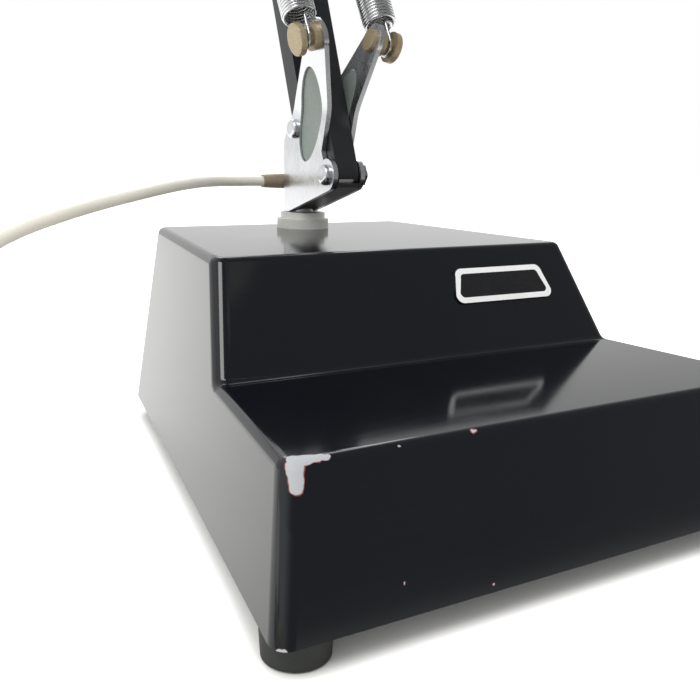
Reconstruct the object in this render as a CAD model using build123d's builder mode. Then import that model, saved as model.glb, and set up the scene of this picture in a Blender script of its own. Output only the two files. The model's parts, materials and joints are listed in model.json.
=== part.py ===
"""Spring-balanced double-bar desk lamp on a heavy stepped base, in millimetres.

The front of the lamp looks along -Y, X = 0 is its plane of symmetry, and it stands on Z = 0.
"""

import os
from math import cos, hypot, pi, radians, sin, sqrt, tan

from build123d import *

os.makedirs("parts", exist_ok=True)

# Fits and small working values shared by the whole lamp
fixed_fit = 0.02
running_fit = 0.05
side_gap = 0.3
overrun = 5.0

# Base cover
front_edge_y = -80.0
base_front_width = 200.0
base_back_width = 140.0
base_depth = 222.0
step_height = 42.0
block_height = 78.5
panel_foot = 80.0
side_lean_share = 0.134
front_lean_share = 0.28
panel_lean_share = 0.604
back_lean_share = 0.15
cover_wall = 2.0
edge_radius = 3.2
upright_radius = 5.0
steep_share = 0.5

# Floor of the base
plate_thickness = 2.0
plate_clearance = 0.3
foot_diameter = 18.0
foot_top_diameter = 19.0
foot_height = 8.0
foot_inset = 11.0
foot_recess_depth = 4.0
screw_diameter = 4.0
screw_head_diameter = 7.5
screw_head_height = 2.5
screw_grip = 10.0
post_diameter = 9.0
ballast_width = 120.0
ballast_depth = 80.0
ballast_height = 24.0
ballast_from_front = 80.0
ballast_bolt_diameter = 5.0
ballast_bolt_head = 9.0
ballast_bolt_spacing = 70.0
ballast_bolt_grip = 12.0
ballast_head_height = 3.0

# Badge on the panel
badge_width = 46.0
badge_top_width = 42.0
badge_height = 13.8
badge_thickness = 0.8
badge_x = 37.8
badge_up_share = 0.62
badge_corner = 2.4

# Swivel in the top of the base
swivel_from_back = 32.5
collar_diameter = 23.2
collar_height = 4.2
collar_top_diameter = 20.0
collar_top_height = 2.8
sleeve_diameter = 15.0
sleeve_length = 14.0
bush_nut_diameter = 20.0
bush_nut_height = 6.0
spindle_diameter = 9.0
spindle_bore = 5.0
spindle_seat = 9.0
spindle_tail = 4.0
clip_diameter = 14.0
clip_thickness = 1.5

# Cord outlet behind the swivel
elbow_x = 9.0
elbow_behind = 13.6
elbow_rise = 20.0
elbow_stem_diameter = 6.4
elbow_barrel_diameter = 8.0
elbow_barrel_length = 8.5
elbow_tail = 7.0
elbow_flange_diameter = 8.4
elbow_flange_height = 2.0
relief_length = 18.75
relief_diameter = 7.6
relief_tip_diameter = 5.8
terminal_width = 30.0
terminal_depth = 15.0
terminal_height = 14.0

# Mains cord, its route by hand and its put-away coil
cord_diameter = 4.6
cord_route = [
    (-14.0, 123.1, 106.5),
    (-29.0, 123.1, 106.5),
    (-46.0, 112.7, 106.7),
    (-62.0, 94.5, 106.3),
    (-80.0, 72.0, 105.4),
    (-109.0, 53.0, 101.0),
    (-138.0, 36.0, 94.0),
    (-158.0, 20.0, 82.0),
    (-172.0, 3.0, 62.0),
    (-180.0, -14.0, 40.0),
    (-183.0, -31.0, 20.5),
    (-183.6, -49.0, 8.5),
    (-183.0, -66.0, 3.8),
    (-183.0, -80.0, 3.8),
]
coil_turns_per_layer = 4
coil_inner_radius = 18.0
coil_step = 5.3
coil_climb = 5.2
coil_tail = 24.0
tie_thickness = 1.2
tie_width = 9.0
tie_gap = 0.9
tie_angle = 200.0
plug_length = 34.0
plug_width = 27.0
plug_thickness = 18.0
plug_neck_length = 16.0
plug_neck_diameter = 9.0
plug_neck_tip_diameter = 6.4
plug_corner = 5.0
plug_pin_diameter = 4.0
plug_pin_length = 19.0
plug_pin_spacing = 19.0

# Fork on the swivel, measured ahead of the swivel axis and above the base top
fork_gap = 10.6
fork_plate_thickness = 2.0
fork_bottom_rise = 7.3
fork_rear_reach = 4.6
fork_slope = 16.3
front_pivot_reach = 36.0
front_pivot_rise = 24.6
rear_pivot_reach = 6.2
rear_pivot_rise = 42.9
ear_reach = 37.2
ear_rise = 77.5
lobe_radius = 6.5
ear_radius = 7.0
fork_rear_corner_rise = 38.0
fork_neck_reach = 31.3
fork_neck_rise = 34.0
fork_back_reach = 9.0
fork_back_rise = 55.5
bend_rise = 50.5
bend_radius = 30.0
spread_share = 0.234
window_length = 39.4
window_width = 18.4
window_reach = 21.7
window_rise = 48.3
window_lean = 19.5
inlay_thickness = 1.0
inlay_gap = 0.2
block_rear_reach = 6.5
block_top_rise = 27.0
block_tip_reach = 43.0
block_tip_rise = 21.4
block_shoulder_reach = 22.0
block_shoulder_rise = 23.5
block_gap = 0.6
rivet_diameter = 4.0
rivet_shares = [(0.303, 0.695), (0.535, 0.543)]

# Pivots
bolt_diameter = 5.0
bolt_head_diameter = 8.4
bolt_head_height = 2.6
bolt_dome_radius = 2.0
nut_width = 8.0
nut_height = 2.4
bolt_end = 1.2
bush_diameter = 7.6

# Spring pins and springs
pin_groove_x = 18.3
pin_shank_diameter = 5.0
pin_collar_diameter = 10.4
pin_groove_diameter = 6.4
pin_groove_width = 4.0
pin_head_diameter = 12.4
pin_head_width = 2.6
pin_edge_radius = 0.6
pin_rivet_diameter = 9.0
pin_rivet_height = 1.4
spring_diameter = 14.0
spring_wire = 1.6
spring_hook_gap = 0.3
spring_lead = 13.0
lower_spring_turns = 30.5
upper_spring_turns = 18.5
lower_spring_at = 200.0
upper_spring_at = 150.0

# Bars
bar_width = 10.0
bar_depth = 10.0
bar_wall = 1.2
lower_length = 290.0
lower_lean = 22.7
upper_length = 320.0
upper_rise = 12.0
lead_diameter = 4.0
lead_inset = 22.0

# Elbow, measured from the top pivot of the lower front bar
upper_pivot_reach = 8.0
upper_pivot_rise = 30.0
link_pivot_back = 7.0
link_pivot_rise = 21.0
elbow_ear_back = 10.0
elbow_ear_rise = 52.0
elbow_lobe_radius = 9.0
elbow_ear_radius = 7.0
head_lobe_radius = 9.0

# Head, measured from the front end of the upper main bar
tilt_reach = 24.0
tilt_drop = 6.0
tilt_lobe_radius = 8.5
knob_diameter = 18.0
knob_length = 11.0
knob_flutes = 8
knob_flute_diameter = 4.0
lug_drop = 18.0
cap_diameter = 40.0
cap_height = 44.0
cap_wall = 1.6
cap_edge_radius = 3.0
lug_foot_depth = 24.0
neck_diameter = 30.0
neck_length = 8.0
neck_bore = 26.0
shade_mouth_diameter = 130.0
shade_height = 76.0
shade_shoulder_diameter = 52.0
shade_wall = 1.2
shade_lip_height = 4.0
shade_bulge = 9.0
vent_count = 10
vent_diameter = 4.0
vent_circle_diameter = 46.0
ring_diameter = 40.0
ring_height = 4.0
holder_length = 40.0
holder_flange_diameter = 34.0
holder_flange_height = 2.0
holder_flange_from_bottom = 26.0
bulb_cap_diameter = 14.0
bulb_cap_length = 20.0
bulb_diameter = 45.0
bulb_neck_diameter = 13.0
bulb_centre_drop = 26.0
bulb_wall = 1.0
switch_size = 15.0
switch_height = 14.0
button_diameter = 8.0
button_flange_diameter = 11.0
button_flange_height = 1.4
button_proud = 5.0
button_travel = 2.5

# Levels and places that follow from the sizes
cover_z = foot_height
step_z = cover_z + step_height
top_z = cover_z + block_height
floor_z = cover_z + plate_thickness
narrowing_share = (base_front_width - base_back_width) / base_depth / 2
swivel_y = front_edge_y + base_depth - swivel_from_back
bar_half = bar_width / 2
fork_inner_x = fork_gap / 2
fork_outer_x = fork_inner_x + fork_plate_thickness


def ahead(reach, rise):
    """A point of the side view, ahead of the swivel axis and above the base top."""
    return (swivel_y - reach, top_z + rise)


def shifted(place, forward, up):
    """A point of the side view, moved towards the front and upwards."""
    return (place[0] - forward, place[1] + up)


lower_way = (sin(radians(lower_lean)), cos(radians(lower_lean)))
upper_way = (-cos(radians(upper_rise)), sin(radians(upper_rise)))


def along(place, way, distance):
    """A point of the side view, a distance along a direction."""
    return (place[0] + way[0] * distance, place[1] + way[1] * distance)


front_pivot = ahead(front_pivot_reach, front_pivot_rise)
rear_pivot = ahead(rear_pivot_reach, rear_pivot_rise)
ear = ahead(ear_reach, ear_rise)
elbow_front = along(front_pivot, lower_way, lower_length)
elbow_rear = along(rear_pivot, lower_way, lower_length)
upper_pivot = shifted(elbow_front, upper_pivot_reach, upper_pivot_rise)
link_pivot = shifted(upper_pivot, -link_pivot_back, link_pivot_rise)
elbow_ear = shifted(upper_pivot, -elbow_ear_back, elbow_ear_rise)
head_pivot = along(upper_pivot, upper_way, upper_length)
head_link_pivot = along(link_pivot, upper_way, upper_length)
tilt_pivot = shifted(head_pivot, tilt_reach, -tilt_drop)
lobe_low = shifted(
    front_pivot,
    lobe_radius * sin(radians(fork_slope)),
    -lobe_radius * cos(radians(fork_slope)),
)
foot_to_lobe = (lobe_low[1] - top_z - fork_bottom_rise) / tan(radians(fork_slope))
fork_foot_reach = swivel_y - lobe_low[0] - foot_to_lobe
rivet_places = []
for across_share, up_share in rivet_shares:
    rivet_reach = across_share * (block_tip_reach + block_rear_reach) - block_rear_reach
    rivet_rise = fork_bottom_rise + up_share * (block_top_rise - fork_bottom_rise)
    rivet_places.append(ahead(rivet_reach, rivet_rise))
lower_spring_end = along(front_pivot, lower_way, lower_spring_at)
upper_spring_end = along(upper_pivot, upper_way, upper_spring_at)

# The ears of the fork lean outwards, so the pins on them point a little down
ear_x = fork_outer_x + spread_share * (ear_rise - bend_rise)
ear_stretch = hypot(1, spread_share)
ear_seat = Plane(origin=(ear_x, *ear), x_dir=(0, 1, 0), z_dir=(1, 0, -spread_share))
ear_groove = shifted(ear, 0, -spread_share * (pin_groove_x - ear_x))


def cross_rod(place, x_start, x_end, diameter, mode=Mode.ADD):
    """A round bar across the lamp, between two values of X."""
    with BuildSketch(Plane.YZ.offset(x_start)) as outline:
        with Locations(place):
            Circle(diameter / 2)
    extrude(outline.sketch, amount=x_end - x_start, mode=mode)


def cross_nut(place, x_start):
    """A hexagon nut across the lamp, bored to sit on a pivot bolt."""
    with BuildSketch(Plane.YZ.offset(x_start)) as outline:
        with Locations(place):
            RegularPolygon(nut_width / 2, 6, major_radius=False)
            Circle(bolt_diameter / 2 + fixed_fit, mode=Mode.SUBTRACT)
    extrude(outline.sketch, amount=nut_height)


def pivot_bolts(places, end_x):
    """Bolts from a domed head on the left plate to their ends past the right one."""
    for place in places:
        cross_rod(place, -fork_outer_x, end_x, bolt_diameter)
        cross_rod(place, -fork_outer_x - bolt_head_height, -fork_outer_x, bolt_head_diameter)
    fillet(edges().group_by(Axis.X)[0], radius=bolt_dome_radius)


def upright_rod(x, y, z_start, z_end, diameter, mode=Mode.ADD):
    """A round bar standing between two heights."""
    with BuildSketch(Plane.XY.offset(z_start)) as outline:
        with Locations((x, y)):
            Circle(diameter / 2)
    extrude(outline.sketch, amount=z_end - z_start, mode=mode)


def hull_plate(lobes, x_start, thickness):
    """A flat plate whose outline is drawn tight round a few lobes, (place, radius)."""
    with BuildSketch(Plane.YZ.offset(x_start)) as outline:
        for place, radius in lobes:
            with Locations(place):
                Circle(radius)
        make_hull()
    extrude(outline.sketch, amount=thickness)


def bar_tube(start, way, length):
    """A square tube with round ends and a hole for a bush at each end."""
    plane = Plane(origin=(0, *start), x_dir=(0, *way), z_dir=(1, 0, 0))
    with BuildSketch(plane) as outline:
        with Locations((length / 2, 0)):
            SlotCenterToCenter(length, bar_depth)
    extrude(outline.sketch, amount=bar_half, both=True)
    with BuildSketch(plane) as channel:
        with Locations((length / 2, 0)):
            Rectangle(length + 2 * bar_depth, bar_depth - 2 * bar_wall)
    extrude(channel.sketch, amount=bar_half - bar_wall, both=True, mode=Mode.SUBTRACT)
    with BuildSketch(plane) as holes:
        with Locations((0, 0), (length, 0)):
            Circle(bush_diameter / 2 + fixed_fit)
    extrude(holes.sketch, amount=bar_half, both=True, mode=Mode.SUBTRACT)


def bar_bushes(*places):
    """Bushes that carry a bar on its two pivot bolts."""
    for place in places:
        cross_rod(place, -bar_half, bar_half, bush_diameter)
        cross_rod(place, -bar_half, bar_half, bolt_diameter + 2 * running_fit, Mode.SUBTRACT)


def seat_rod(seat, start, end, diameter, mode=Mode.ADD):
    """A round bar square to a plane, between two distances from it."""
    with BuildSketch(seat.offset(start)) as outline:
        Circle(diameter / 2)
    extrude(outline.sketch, amount=end - start, mode=mode)


def spring_pin(seat, grip, groove):
    """A pin with its shank behind a seat, and a collar, a groove and a head before it."""
    groove_start = groove - pin_groove_width / 2
    groove_end = groove + pin_groove_width / 2
    seat_rod(seat, -grip, 0, pin_shank_diameter)
    seat_rod(seat, 0, groove_start, pin_collar_diameter)
    seat_rod(seat, groove_start, groove_end, pin_groove_diameter)
    seat_rod(seat, groove_end, groove_end + pin_head_width, pin_head_diameter)
    fillet(edges().sort_by(Axis.X)[-1], radius=pin_edge_radius)


def cross_seat(place, x):
    """A seat for a pin that lies straight across the lamp."""
    return Plane(origin=(x, *place), x_dir=(0, 1, 0), z_dir=(1, 0, 0))


def biarc(start, start_way, finish, finish_way):
    """Two tangent arcs from one point and direction to another."""
    reach = finish - start
    push = reach.dot(start_way + finish_way)
    turn = 2 - 2 * start_way.dot(finish_way)
    arm = (sqrt(push**2 + turn * reach.dot(reach)) - push) / turn
    middle = (start + finish + (start_way - finish_way) * arm) / 2
    TangentArc(start, middle, tangent=start_way)
    TangentArc(middle, finish, tangent=finish - finish_way * arm - middle)


def least_gap(wire, diameter, samples):
    """Smallest clear distance of a round tube to itself, measured on points."""
    points = [wire.position_at(i / samples) for i in range(samples + 1)]
    skip = int(2.5 * diameter / (wire.length / samples)) + 1
    pairs = ((points[i], points[j]) for i in range(samples) for j in range(i + skip, samples + 1))
    return min(hypot(a.X - b.X, a.Y - b.Y, a.Z - b.Z) for a, b in pairs) - diameter


hook_radius = (pin_groove_diameter + spring_wire) / 2 + spring_hook_gap
spring_radius = (spring_diameter - spring_wire) / 2


def spring_wire_path(low, high, turns):
    """The wire of a tension spring: hook, helix and hook, in biarcs of half a turn."""
    first = Vector(pin_groove_x, *low)
    last = Vector(pin_groove_x, *high)
    axis = (last - first).normalized()
    outward = Vector(1, 0, 0)
    side = outward.cross(axis)
    middle = (first + last) / 2
    pitch = ((last - first).length - 2 * spring_lead) / turns

    def helix(angle):
        swing = side * cos(angle) + outward * sin(angle)
        heading = outward * cos(angle) - side * sin(angle)
        place = middle + axis * (pitch * angle / (2 * pi)) + swing * spring_radius
        return place, (axis * (pitch / (2 * pi)) + heading * spring_radius).normalized()

    with BuildLine() as path:
        hook = -side * hook_radius
        ThreePointArc(first + axis * hook_radius, first - hook, first - axis * hook_radius)
        TangentArc(first - axis * hook_radius, first + hook, tangent=hook)
        Line(first + hook, first + hook + axis * spring_wire)
        steps = [helix(pi * (i - turns)) for i in range(int(2 * turns) + 1)]
        biarc(first + hook + axis * spring_wire, axis, *steps[0])
        for (start, start_way), (finish, finish_way) in zip(steps, steps[1:]):
            biarc(start, start_way, finish, finish_way)
        biarc(*steps[-1], last + hook - axis * spring_wire, axis)
        Line(last + hook - axis * spring_wire, last + hook)
        TangentArc(last + hook, last + axis * hook_radius, tangent=axis)
        ThreePointArc(last + axis * hook_radius, last - hook, last - axis * hook_radius)
    return path.wires()[0]


def round_wire(wire, diameter):
    """A round tube along a wire."""
    with BuildSketch(Plane(origin=wire.position_at(0), z_dir=wire.tangent_at(0))) as section:
        Circle(diameter / 2)
    sweep(section.sketch, path=wire)


# Places of the feet, with the height of the roof above each
foot_places = []
for hand in (1, -1):
    foot_places.append((hand * (base_front_width / 2 - foot_inset), front_edge_y + foot_inset, step_z))
    rear_foot_y = front_edge_y + base_depth - foot_inset
    foot_places.append((hand * (base_back_width / 2 - foot_inset), rear_foot_y, top_z))
ballast_y = front_edge_y + ballast_from_front
ballast_bolt_places = [(hand * ballast_bolt_spacing / 2, ballast_y) for hand in (1, -1)]
elbow_y = swivel_y + elbow_behind
elbow_z = top_z + elbow_rise
roof_z = top_z - cover_wall



def is_steep(edge):
    """Whether a straight edge climbs more than it runs level."""
    return abs(edge.tangent_at(0).Z) > steep_share


# Base cover: a stepped profile drawn across, trimmed by two leaning sides, then hollowed
with BuildPart() as base_cover:
    with BuildSketch(Plane.YZ):
        Polygon(
            (front_edge_y, cover_z),
            (front_edge_y + front_lean_share * step_height, step_z),
            (front_edge_y + panel_foot, step_z),
            (front_edge_y + panel_foot + panel_lean_share * (top_z - step_z), top_z),
            (front_edge_y + base_depth - back_lean_share * block_height, top_z),
            (front_edge_y + base_depth, cover_z),
        )
    extrude(amount=base_front_width / 2, both=True)
    for hand in (1, -1):
        side = Plane(
            origin=(hand * base_front_width / 2, front_edge_y, cover_z),
            z_dir=(hand, narrowing_share, side_lean_share),
        )
        split(bisect_by=side, keep=Keep.BOTTOM)
    fillet(base_cover.edges().filter_by(is_steep), radius=upright_radius)
    foot_line = base_cover.edges().group_by(Axis.Z)[0]
    fillet(base_cover.edges() - base_cover.edges().filter_by(is_steep) - foot_line, radius=edge_radius)
    outer_form = base_cover.part
    offset(amount=-cover_wall, openings=base_cover.faces().sort_by(Axis.Z)[0])
    screw_hole = screw_diameter + 2 * fixed_fit
    for x, y, ceiling in foot_places:
        upright_rod(x, y, floor_z, ceiling - cover_wall / 2, post_diameter)
    add(outer_form, mode=Mode.INTERSECT)
    for x, y, ceiling in foot_places:
        upright_rod(x, y, floor_z, floor_z + screw_grip + side_gap, screw_hole, Mode.SUBTRACT)
    hole_start = roof_z - overrun
    hole_end = top_z + overrun
    upright_rod(0, swivel_y, hole_start, hole_end, sleeve_diameter + 2 * fixed_fit, Mode.SUBTRACT)
    stem_hole = elbow_stem_diameter + 2 * fixed_fit
    upright_rod(elbow_x, elbow_y, hole_start, hole_end, stem_hole, Mode.SUBTRACT)
base_cover.part.label = "base_cover"
export_step(base_cover.part, "parts/base_cover.step")

# Bottom plate: lies inside the rim of the cover, flush with its lower edge
rim = cover_wall * sqrt(1 + front_lean_share**2) + plate_clearance
plate_side_inset = rim + side_lean_share * plate_thickness
plate_front_y = front_edge_y + rim + front_lean_share * plate_thickness
plate_back_y = front_edge_y + base_depth - rim - back_lean_share * plate_thickness
with BuildPart() as bottom_plate:
    half_front = base_front_width / 2 - plate_side_inset - narrowing_share * rim
    half_back = base_back_width / 2 - plate_side_inset
    with BuildSketch(Plane.XY.offset(cover_z)):
        Polygon(
            (-half_front, plate_front_y),
            (half_front, plate_front_y),
            (half_back, plate_back_y),
            (-half_back, plate_back_y),
        )
    extrude(amount=plate_thickness)
    fillet(bottom_plate.edges().filter_by(Axis.Z), radius=edge_radius)
    plate_end = floor_z + overrun
    plate_start = cover_z - overrun
    for x, y, ceiling in foot_places:
        upright_rod(x, y, plate_start, plate_end, screw_hole, Mode.SUBTRACT)
    for x, y in ballast_bolt_places:
        hole = ballast_bolt_diameter + 2 * fixed_fit
        upright_rod(x, y, plate_start, plate_end, hole, Mode.SUBTRACT)
bottom_plate.part.label = "bottom_plate"
export_step(bottom_plate.part, "parts/bottom_plate.step")

# Ballast: a cast block on the bottom plate that keeps the lamp from tipping
with BuildPart() as ballast_weight:
    with BuildSketch(Plane.XY.offset(floor_z)):
        with Locations((0, ballast_y)):
            RectangleRounded(ballast_width, ballast_depth, edge_radius)
    extrude(amount=ballast_height)
    for x, y in ballast_bolt_places:
        hole_top = floor_z + ballast_bolt_grip + side_gap
        hole = ballast_bolt_diameter + 2 * fixed_fit
        upright_rod(x, y, floor_z, hole_top, hole, Mode.SUBTRACT)
ballast_weight.part.label = "ballast_weight"
export_step(ballast_weight.part, "parts/ballast_weight.step")

with BuildPart() as ballast_bolts:
    for x, y in ballast_bolt_places:
        upright_rod(x, y, cover_z, floor_z + ballast_bolt_grip, ballast_bolt_diameter)
        upright_rod(x, y, cover_z - ballast_head_height, cover_z, ballast_bolt_head)
ballast_bolts.part.label = "ballast_bolts"
export_step(ballast_bolts.part, "parts/ballast_bolts.step")

# Rubber feet, each with a recess for the screw that holds it and the bottom plate
with BuildPart() as rubber_feet:
    for x, y, ceiling in foot_places:
        with Locations((x, y, 0)):
            Cone(
                foot_diameter / 2,
                foot_top_diameter / 2,
                foot_height,
                align=(Align.CENTER, Align.CENTER, Align.MIN),
            )
        upright_rod(x, y, 0, foot_recess_depth, screw_head_diameter + side_gap, Mode.SUBTRACT)
        upright_rod(x, y, 0, foot_height, screw_hole, Mode.SUBTRACT)
rubber_feet.part.label = "rubber_feet"
export_step(rubber_feet.part, "parts/rubber_feet.step")

with BuildPart() as foot_screws:
    for x, y, ceiling in foot_places:
        head_start = foot_recess_depth - screw_head_height
        upright_rod(x, y, foot_recess_depth, floor_z + screw_grip, screw_diameter)
        upright_rod(x, y, head_start, foot_recess_depth, screw_head_diameter)
foot_screws.part.label = "foot_screws"
export_step(foot_screws.part, "parts/foot_screws.step")

# Badge: a plain thin plate on the sloped panel, a little wider at its lower edge
badge_z = step_z + badge_up_share * (top_z - step_z)
badge_y = front_edge_y + panel_foot + panel_lean_share * (badge_z - step_z)
with BuildPart() as badge_plate:
    panel = Plane(origin=(badge_x, badge_y, badge_z), x_dir=(1, 0, 0), z_dir=(0, -1, panel_lean_share))
    with BuildSketch(panel) as badge_face:
        Polygon(
            (-badge_width / 2, -badge_height / 2),
            (badge_width / 2, -badge_height / 2),
            (badge_top_width / 2, badge_height / 2),
            (-badge_top_width / 2, badge_height / 2),
        )
        fillet(badge_face.vertices(), radius=badge_corner)
    extrude(amount=badge_thickness)
badge_plate.part.label = "badge_plate"
export_step(badge_plate.part, "parts/badge_plate.step")

# Swivel bush: a stepped nylon collar on the base top with a sleeve through it
collar_top_z = top_z + collar_height + collar_top_height
sleeve_end_z = roof_z - sleeve_length
with BuildPart() as swivel_bush:
    upright_rod(0, swivel_y, top_z, top_z + collar_height, collar_diameter)
    upright_rod(0, swivel_y, top_z + collar_height, collar_top_z, collar_top_diameter)
    upright_rod(0, swivel_y, sleeve_end_z, top_z, sleeve_diameter)
    spindle_hole = spindle_diameter + 2 * running_fit
    upright_rod(0, swivel_y, sleeve_end_z, collar_top_z, spindle_hole, Mode.SUBTRACT)
swivel_bush.part.label = "swivel_bush"
export_step(swivel_bush.part, "parts/swivel_bush.step")

with BuildPart() as bush_nut:
    upright_rod(0, swivel_y, roof_z - bush_nut_height, roof_z, bush_nut_diameter)
    nut_hole = sleeve_diameter + 2 * fixed_fit
    upright_rod(0, swivel_y, roof_z - bush_nut_height, roof_z, nut_hole, Mode.SUBTRACT)
bush_nut.part.label = "bush_nut"
export_step(bush_nut.part, "parts/bush_nut.step")

# Cord outlet: a stem behind the swivel with a level barrel that looks to the left
barrel_end_x = elbow_x - elbow_barrel_length / 2
with BuildPart() as cord_elbow:
    upright_rod(elbow_x, elbow_y, roof_z - elbow_tail, elbow_z, elbow_stem_diameter)
    upright_rod(elbow_x, elbow_y, top_z, top_z + elbow_flange_height, elbow_flange_diameter)
    cross_rod((elbow_y, elbow_z), barrel_end_x, elbow_x + elbow_barrel_length / 2, elbow_barrel_diameter)
cord_elbow.part.label = "cord_elbow"
export_step(cord_elbow.part, "parts/cord_elbow.step")

with BuildPart() as strain_relief:
    with BuildSketch(Plane.YZ.offset(barrel_end_x)):
        with Locations((elbow_y, elbow_z)):
            Circle(relief_diameter / 2)
    with BuildSketch(Plane.YZ.offset(barrel_end_x - relief_length)):
        with Locations((elbow_y, elbow_z)):
            Circle(relief_tip_diameter / 2)
    loft()
strain_relief.part.label = "strain_relief"
export_step(strain_relief.part, "parts/strain_relief.step")

# Terminal block on the bottom plate, under the cord outlet
with BuildPart() as terminal_block:
    with BuildSketch(Plane.XY.offset(floor_z)):
        with Locations((elbow_x, elbow_y)):
            Rectangle(terminal_width, terminal_depth)
    extrude(amount=terminal_height)
terminal_block.part.label = "terminal_block"
export_step(terminal_block.part, "parts/terminal_block.step")

# Mains cord: straight runs joined by arcs as large as the runs allow
route = [Vector(*point) for point in cord_route]
runs = [after - before for before, after in zip(route, route[1:])]
cord_radii = []
for before, after in zip(runs, runs[1:]):
    half_turn = radians(before.get_angle(after)) / 2
    cord_radii.append(0.45 * min(before.length, after.length) / tan(half_turn))
print("cord radii", [round(radius) for radius in cord_radii])
with BuildPart() as mains_cord:
    with BuildLine() as cord_line:
        FilletPolyline(*cord_route, radius=cord_radii)
    round_wire(cord_line.wires()[0], cord_diameter)
cord_section = pi * cord_diameter**2 / 4
cord_length = cord_line.wires()[0].length
print("cord", round(cord_length, 1), "volume share", mains_cord.part.volume / cord_section / cord_length)
mains_cord.part.label = "mains_cord"
export_step(mains_cord.part, "parts/mains_cord.step")

# Put-away coil: the lower layer spirals in, the upper one out, with the climb at the reversal
coil_outer_radius = coil_inner_radius + coil_step * coil_turns_per_layer
coil_start = route[-1] + Vector(0, -cord_diameter, 0)
coil_centre = coil_start - Vector(coil_outer_radius, 0, 0)
reversal = 2 * pi * coil_turns_per_layer


def coil_place(angle):
    """The centre of the cord at an angle wound from the start of the coil."""
    past = angle - reversal
    softened = abs(past)
    lift = coil_climb if past > 0 else 0
    if softened < pi / 2:
        softened = past**2 / pi + pi / 4
        lift = coil_climb * (1 + sin(past)) / 2
    radius = coil_inner_radius + coil_step * softened / (2 * pi)
    return coil_centre + Vector(radius * cos(angle), -radius * sin(angle), lift)


def coil_way(angle):
    """The direction of the cord there."""
    nudge = 1 / 1000
    return (coil_place(angle + nudge) - coil_place(angle - nudge)).normalized()


with BuildPart() as cord_coil:
    forward = Vector(0, -1, 0)
    quarter_turns = 8 * coil_turns_per_layer
    coil_end = coil_centre + Vector(coil_outer_radius, 0, coil_climb)
    with BuildLine() as coil_line:
        Line(route[-1], coil_start)
        biarc(coil_start, forward, coil_place(pi / 2), coil_way(pi / 2))
        for step in range(1, quarter_turns - 1):
            start = step * pi / 2
            finish = start + pi / 2
            biarc(coil_place(start), coil_way(start), coil_place(finish), coil_way(finish))
        last = (quarter_turns - 1) * pi / 2
        biarc(coil_place(last), coil_way(last), coil_end, forward)
        Line(coil_end, coil_end + forward * coil_tail)
    coil_wire = coil_line.wires()[0]
    round_wire(coil_wire, cord_diameter)
print("coil", round(coil_wire.length, 1), "least gap", round(least_gap(coil_wire, cord_diameter, 1600), 2))
cord_coil.part.label = "cord_coil"
export_step(cord_coil.part, "parts/cord_coil.step")

# Tie round the coil
with BuildPart() as cord_tie:
    radial = Vector(cos(radians(tie_angle)), sin(radians(tie_angle)), 0)
    middle_radius = (coil_inner_radius + coil_outer_radius) / 2
    inner_width = coil_outer_radius - coil_inner_radius + cord_diameter + 2 * tie_gap
    inner_height = coil_climb + cord_diameter + 2 * side_gap
    tie_origin = coil_centre + radial * middle_radius + Vector(0, 0, coil_climb / 2)
    with BuildSketch(Plane(origin=tie_origin, x_dir=radial, z_dir=radial.cross(Vector(0, 0, 1)))):
        Rectangle(inner_width + 2 * tie_thickness, inner_height + 2 * tie_thickness)
        Rectangle(inner_width, inner_height, mode=Mode.SUBTRACT)
    extrude(amount=tie_width / 2, both=True)
cord_tie.part.label = "cord_tie"
export_step(cord_tie.part, "parts/cord_tie.step")

# Plug beside the coil
plug_start = coil_end + forward * coil_tail
plug_way = Plane(origin=plug_start, x_dir=(1, 0, 0), z_dir=forward)
with BuildPart() as plug_body:
    with BuildSketch(plug_way):
        Circle(plug_neck_tip_diameter / 2)
    with BuildSketch(plug_way.offset(plug_neck_length)):
        Circle(plug_neck_diameter / 2)
    loft()
    with BuildSketch(plug_way.offset(plug_neck_length)):
        RectangleRounded(plug_width, plug_thickness, plug_corner)
    extrude(amount=plug_length)
    chamfer(plug_body.faces().filter_by(Axis.Y).sort_by(Axis.Y)[-2].outer_wire().edges(), plug_corner / 2)
plug_body.part.label = "plug_body"
export_step(plug_body.part, "parts/plug_body.step")

with BuildPart() as plug_pins:
    with BuildSketch(plug_way.offset(plug_neck_length + plug_length)):
        with GridLocations(plug_pin_spacing, 0, 2, 1):
            Circle(plug_pin_diameter / 2)
    extrude(amount=plug_pin_length)
plug_pins.part.label = "plug_pins"
export_step(plug_pins.part, "parts/plug_pins.step")

# Fork block: turns on the bush, with the spindle fixed in it and the plates riveted to its sides
fork_bottom_z = top_z + fork_bottom_rise
block_tip_lift = (block_tip_reach - fork_foot_reach) * tan(radians(fork_slope))
with BuildPart() as fork_block:
    with BuildSketch(Plane.YZ):
        Polygon(
            ahead(-block_rear_reach, fork_bottom_rise),
            ahead(fork_foot_reach, fork_bottom_rise),
            ahead(block_tip_reach, fork_bottom_rise + block_tip_lift),
            ahead(block_tip_reach, block_tip_rise),
            ahead(block_shoulder_reach, block_shoulder_rise),
            ahead(0, block_top_rise),
            ahead(-block_rear_reach, block_top_rise),
        )
        with Locations(front_pivot):
            Circle(bar_depth / 2 + block_gap, mode=Mode.SUBTRACT)
    extrude(amount=fork_inner_x, both=True)
    spindle_seat_top = fork_bottom_z + spindle_seat
    seat_hole = spindle_diameter + 2 * fixed_fit
    upright_rod(0, swivel_y, fork_bottom_z, spindle_seat_top, seat_hole, Mode.SUBTRACT)
    upright_rod(0, swivel_y, spindle_seat_top, top_z + block_top_rise, spindle_bore, Mode.SUBTRACT)
    for place in rivet_places:
        cross_rod(place, -fork_inner_x, fork_inner_x, rivet_diameter + 2 * fixed_fit, Mode.SUBTRACT)
fork_block.part.label = "fork_block"
export_step(fork_block.part, "parts/fork_block.step")

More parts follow.
